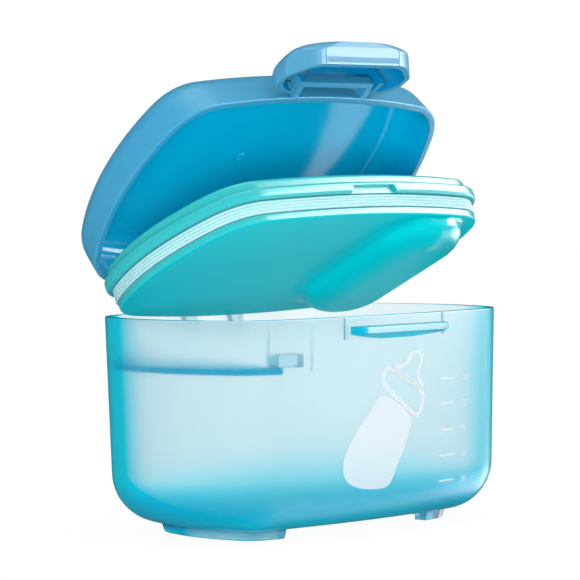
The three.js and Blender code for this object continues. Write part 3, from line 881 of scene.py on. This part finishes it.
class MakeClasp(bpy.types.Operator):
    """Make the clasp: a hollow crowned shell that clips on the bracket's pins"""
    bl_idname = "dispenser.make_clasp"
    bl_label = "Clasp"

    def execute(self, context):
        settings = context.scene.dispenser_clasp
        wall = settings.wall / MM
        steps = [(CUT, clasp_form(wall)), (CUT, rod(4.25, PIVOT, -17, 17))]
        for side in SIDES:
            rib = block(span(side, 17, 18.8), (-FAR, -42.7), (71.5, 80))
            steps.append((ADD, formed(clasp_form(0), (KEEP, rib))))
        steps.append((CUT, rod(PIVOT_BORE, PIVOT, -19.3, 19.3)))
        steps += [(CUT, form) for form in clasp_end_marks()]
        mesh = shaped("clasp_shell", clasp_form(0), *steps)
        plastic = moulded_plastic("clasp_plastic", settings.shade, "3c8aae", IN_CLASP, 0.42, 1.0)
        # Painted shade: the hollow takes a darker colour than the outside
        inside = moulded_plastic("clasp_inside_painted_shade", settings.inside, "007cac", IN_CLASP, 0.25, 0.4)
        set_piece("clasp_shell", mesh, IN_CLASP, "clasp", [plastic, inside], ["clasp"],
                  lambda middle, normal: 1 if normal.dot(CLASP_CORE - middle) > 0.3 else 0)
        return {"FINISHED"}


def wall_front(x, z):
    """y of the tub's front wall, outside."""
    inset = wall_inset(z)
    radius = PLAN["front"] - inset
    return radius - (PLAN["width"] / 2 - inset) - math.sqrt(radius ** 2 - x ** 2)


# Thickness of the print, which stands as far off the wall, and the z of the scale's ticks
INK = 0.03
TICKS = ((48, "150"), (40, "120"), (31.4, "90"), (23.2, "60"), (15, "30"))

# The printed bottle's outlines on the front wall, as (x, z) pairs
BOTTLE_BODY = ((-5.8, 45.8), (-10, 40.7), (-15, 36), (-19.2, 30.2), (-21.9, 25.8), (-22.6, 21.7), (-21, 17.8),
               (-16, 15.6), (-9.2, 14.8), (-2.6, 15), (0.5, 21.4), (3.8, 26.7), (6.5, 33.1), (7.8, 37.5))
BOTTLE_COLLAR = ((-2.8, 53.4), (-5.6, 51.4), (-5.8, 47.9), (1.7, 42.4), (9.6, 36.5), (11.9, 38.9),
                 (13.2, 44.6), (5, 49.2))
BOTTLE_TEAT = ((-2.6, 53.6), (0.2, 52.9), (3.6, 53.5), (5.8, 54.5), (6.9, 56.8), (9.4, 57.7), (12, 56.6),
               (12.2, 54.2), (10.6, 52.2), (9.9, 50.1), (11.1, 47.9), (13, 44.6), (5, 49.4))


def rounded(points, rounds=3):
    """A closed outline with its corners cut, several times over."""
    points = [Vector(p) for p in points]
    for _ in range(rounds):
        points = [p for a, b in zip(points, points[1:] + points[:1])
                  for p in (a * 0.75 + b * 0.25, a * 0.25 + b * 0.75)]
    return points


def moved_out(points, distance):
    """A closed outline, anticlockwise or not, moved sideways."""
    moved = []
    for before, here, after in zip(points[-1:] + points[:-1], points, points[1:] + points[:1]):
        way = (after - before).normalized()
        moved.append(here + Vector((way.y, -way.x)) * distance)
    return moved


def stroke(points, width):
    """A printed line of even width along a closed outline of (x, z) pairs."""
    return lofted([[Vector((p.x, y, p.y)) for p in moved_out(points, side * width)]
                   for side, y in ((0.5, -INK), (0.5, 0), (-0.5, 0), (-0.5, -INK))], joined=True)


def figure_mesh(figure, height, x, z):
    """Plain printed figures in the built-in font, from x on and centred on z."""
    text = bpy.data.curves.new("figure", "FONT")
    text.body = figure
    text.size = height * 1.36
    text.extrude = INK / 2
    text.resolution_u = 4
    holder = bpy.data.objects.new("figure", text)
    bpy.context.scene.collection.objects.link(holder)
    mesh = bpy.data.meshes.new_from_object(holder.evaluated_get(bpy.context.evaluated_depsgraph_get()))
    bpy.data.objects.remove(holder)
    bpy.data.curves.remove(text)
    mesh.transform(Matrix.Translation((x, -INK / 2, z - height / 2)) @ Matrix.Rotation(math.pi / 2, 4, "X"))
    return mesh


class MakePrint(bpy.types.Operator):
    """Print the scale and a feeding bottle on the front of the tub"""
    bl_idname = "dispenser.make_print"
    bl_label = "Scale print"

    def execute(self, context):
        settings = context.scene.dispenser_print
        tick_x, tick_half, figure_x = (20.9, 28.3), 0.32, 31.5
        marks = [mesh_of(prism_y(rounded(BOTTLE_BODY), -INK, 0), "body")]
        marks += [mesh_of(stroke(rounded(outline, 2), 1.3), "line")
                  for outline in (BOTTLE_COLLAR, BOTTLE_TEAT)]
        for z, figure in TICKS:
            marks.append(mesh_of(block(tick_x, (-INK, 0), (z - tick_half, z + tick_half)), "tick"))
            marks.append(figure_mesh(figure, settings.height / MM, figure_x, z))
        form = bmesh.new()
        for mark in marks:
            form.from_mesh(mark)
            bpy.data.meshes.remove(mark)
        # Cut into narrow strips, which then bend with the wall
        for x in range(-24, 40, 2):
            bmesh.ops.bisect_plane(form, geom=form.verts[:] + form.edges[:] + form.faces[:], dist=1e-5,
                                   plane_co=(x, 0, 0), plane_no=(1, 0, 0))
        for vert in form.verts:
            vert.co.y += wall_front(vert.co.x, vert.co.z) - INK
        finish = Finish("print_ink")
        where = finish.closed(IN_TUB)
        worn = finish.noise(where, 1.2, 3)
        surface = finish.plastic(
            Base_Color=finish.blend(worn, settings.ink, tone("ccd0d6")), Alpha=settings.cover,
            Roughness=0.45 + worn * 0.2, Normal=finish.bump(worn, 0.1, 0.00002))
        set_piece("scale_print", mesh_of(form, "scale_print"), IN_TUB, "container",
                  [finish.done(surface)])
        return {"FINISHED"}


# ---------------- stage

def aimed(place, ahead):
    """Stands at a place, in metres, with -Z along ahead and Y up."""
    return Matrix.Translation(place) @ ahead.to_track_quat("-Z", "Y").to_matrix().to_4x4()


def soft_light(name, place, target, wide, high, power, *hidden_from):
    """A rectangle of light, out of sight through clear parts and for the rays that are named."""
    light = bpy.data.lights.new(name, "AREA")
    light.shape = "RECTANGLE"
    light.size, light.size_y = wide, high
    light.energy = power
    lamp = bpy.data.objects.new(name, light)
    lamp.matrix_world = aimed(place, Vector(target) - Vector(place))
    for ray in ("transmission", *hidden_from):
        setattr(lamp, "visible_" + ray, False)
    bpy.context.scene.collection.objects.link(lamp)


# The camera, as fitted to the photograph: its place, how far to the right and down it looks and leans, in
# degrees, and its focal length in pixels of a frame that is 580 pixels wide
EYE = Vector((-640.69599, -673.20204, 109.28638))
AZIMUTH, ELEVATION, LEAN = (math.radians(degrees) for degrees in (43.34234, 1.9999, -0.84406))
FOCAL, FRAME, SENSOR = 2842.0036, 580, 36


class MakeStage(bpy.types.Operator):
    """Set the pale floor, the soft lights and the camera"""
    bl_idname = "dispenser.make_stage"
    bl_label = "Stage"

    def execute(self, context):
        settings = context.scene.dispenser_stage
        scene = context.scene
        form = bmesh.new()
        bmesh.ops.create_circle(form, cap_ends=True, segments=96, radius=4)
        floor = bpy.data.objects.new("floor", mesh_of(form, "floor"))
        scene.collection.objects.link(floor)
        finish = Finish("floor_paint")
        where = finish.node("ShaderNodeTexCoord").outputs["Object"]
        across = Value(finish, finish.node("ShaderNodeVectorMath", {"operation": "LENGTH"},
                                           {0: where}).outputs["Value"])
        paint = finish.plastic(Base_Color=(*settings.floor, 1), Roughness=0.8)
        glow = finish.node("ShaderNodeEmission", None, {"Color": (1, 1, 1, 1), "Strength": 1.0}).outputs[0]
        surface = finish.node("ShaderNodeMixShader", None,
                              {0: across.between(0.05, 0.3) * 0.04 + 0.95, 1: paint, 2: glow}).outputs[0]
        floor.data.materials.append(finish.done(surface))
        floor.visible_glossy = False

        # White all round, a little less so as a light, and for reflections dark but for a bright band and a
        # low streak at the right front, and a bright table to the right
        sky = Finish("studio", bpy.data.worlds.new("studio"))
        path = sky.node("ShaderNodeLightPath").outputs
        diffuse, glossy, through = (Value(sky, path[f"Is {kind} Ray"])
                                    for kind in ("Diffuse", "Glossy", "Transmission"))
        way = sky.axes(sky.node("ShaderNodeTexCoord").outputs["Generated"])
        right = way[0].between(-0.2, 0.7) * way[1].between(0.28, -0.1)
        band = way[2].between(0.1, 0.3) * way[2].between(0.68, 0.55)
        streak = way[2].between(-0.56, -0.7)
        table = (way[0] * 0.93 - way[1] * 0.05 - way[2] * 0.36).between(0.94, 1.0)
        reflected = right * (band * 1.2 + streak * 1.5) + table * 7 + 0.07
        white, mirrored = 1.02, glossy * (1 - through)
        strength = (white - diffuse * (white - settings.surround) - mirrored * white
                    + mirrored * reflected)
        back = sky.node("ShaderNodeBackground", None, {"Color": (1, 1, 1, 1), "Strength": strength})
        scene.world = sky.done(back.outputs[0])

        aim = (0, 0, 0.08)
        soft_light("key", (0.75, -0.62, 0.4), aim, 0.7, 0.6, settings.key, "glossy")
        soft_light("sheen", (0.78, -0.58, 0.41), aim, 1.1, 0.8, settings.sheen, "diffuse")
        soft_light("top_fill", (0, 0, 1.1), aim, 0.8, 0.8, 3)
        soft_light("low_fill", (-0.42, -0.38, 0.07), (0, 0, 0.12), 0.24, 0.1, settings.low_fill, "camera",
                   "glossy")

        camera = bpy.data.cameras.new("camera")
        camera.sensor_width = SENSOR
        camera.lens = FOCAL / FRAME * SENSOR
        camera.clip_start = 0.05
        holder = bpy.data.objects.new("camera", camera)
        ahead = Vector((math.sin(AZIMUTH) * math.cos(ELEVATION), math.cos(AZIMUTH) * math.cos(ELEVATION),
                        -math.sin(ELEVATION)))
        holder.matrix_world = aimed((EYE + SHIFT) * MM, ahead) @ Matrix.Rotation(LEAN, 4, "Z")
        scene.collection.objects.link(holder)
        scene.camera = holder
        scene.view_settings.view_transform = "Standard"
        return {"FINISHED"}


# ---------------- add-on

LISTED = (
    (MakeStage, StageSettings, "dispenser_stage"),
    (MakeTub, TubSettings, "dispenser_tub"),
    (MakePrint, PrintSettings, "dispenser_print"),
    (MakeLeveller, LevellerSettings, "dispenser_leveller"),
    (MakeHingeRod, HingeSettings, "dispenser_hinge"),
    (MakeInnerLid, InnerLidSettings, "dispenser_inner_lid"),
    (MakeSeal, SealSettings, "dispenser_seal"),
    (MakeOuterLid, OuterLidSettings, "dispenser_outer_lid"),
    (MakeClasp, ClaspSettings, "dispenser_clasp"),
)


class DispenserPanel(bpy.types.Panel):
    """Lists the pieces with their sizes and colours"""
    bl_idname = "VIEW3D_PT_dispenser"
    bl_label = "Formula dispenser"
    bl_space_type = "VIEW_3D"
    bl_region_type = "UI"
    bl_category = "Dispenser"

    def draw(self, context):
        for operator, group, name in LISTED:
            box = self.layout.box()
            box.operator(operator.bl_idname)
            for key in group.__annotations__:
                box.prop(getattr(context.scene, name), key)


def register():
    for operator, group, name in LISTED:
        bpy.utils.register_class(group)
        bpy.utils.register_class(operator)
        setattr(bpy.types.Scene, name, PointerProperty(type=group))
    bpy.utils.register_class(DispenserPanel)


def unregister():
    bpy.utils.unregister_class(DispenserPanel)
    for operator, group, name in reversed(LISTED):
        delattr(bpy.types.Scene, name)
        bpy.utils.unregister_class(operator)
        bpy.utils.unregister_class(group)


def main():
    register()
    for operator, _, _ in LISTED:
        getattr(bpy.ops.dispenser, operator.bl_idname.split(".")[1])()
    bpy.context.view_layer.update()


if __name__ == "__main__":
    main()
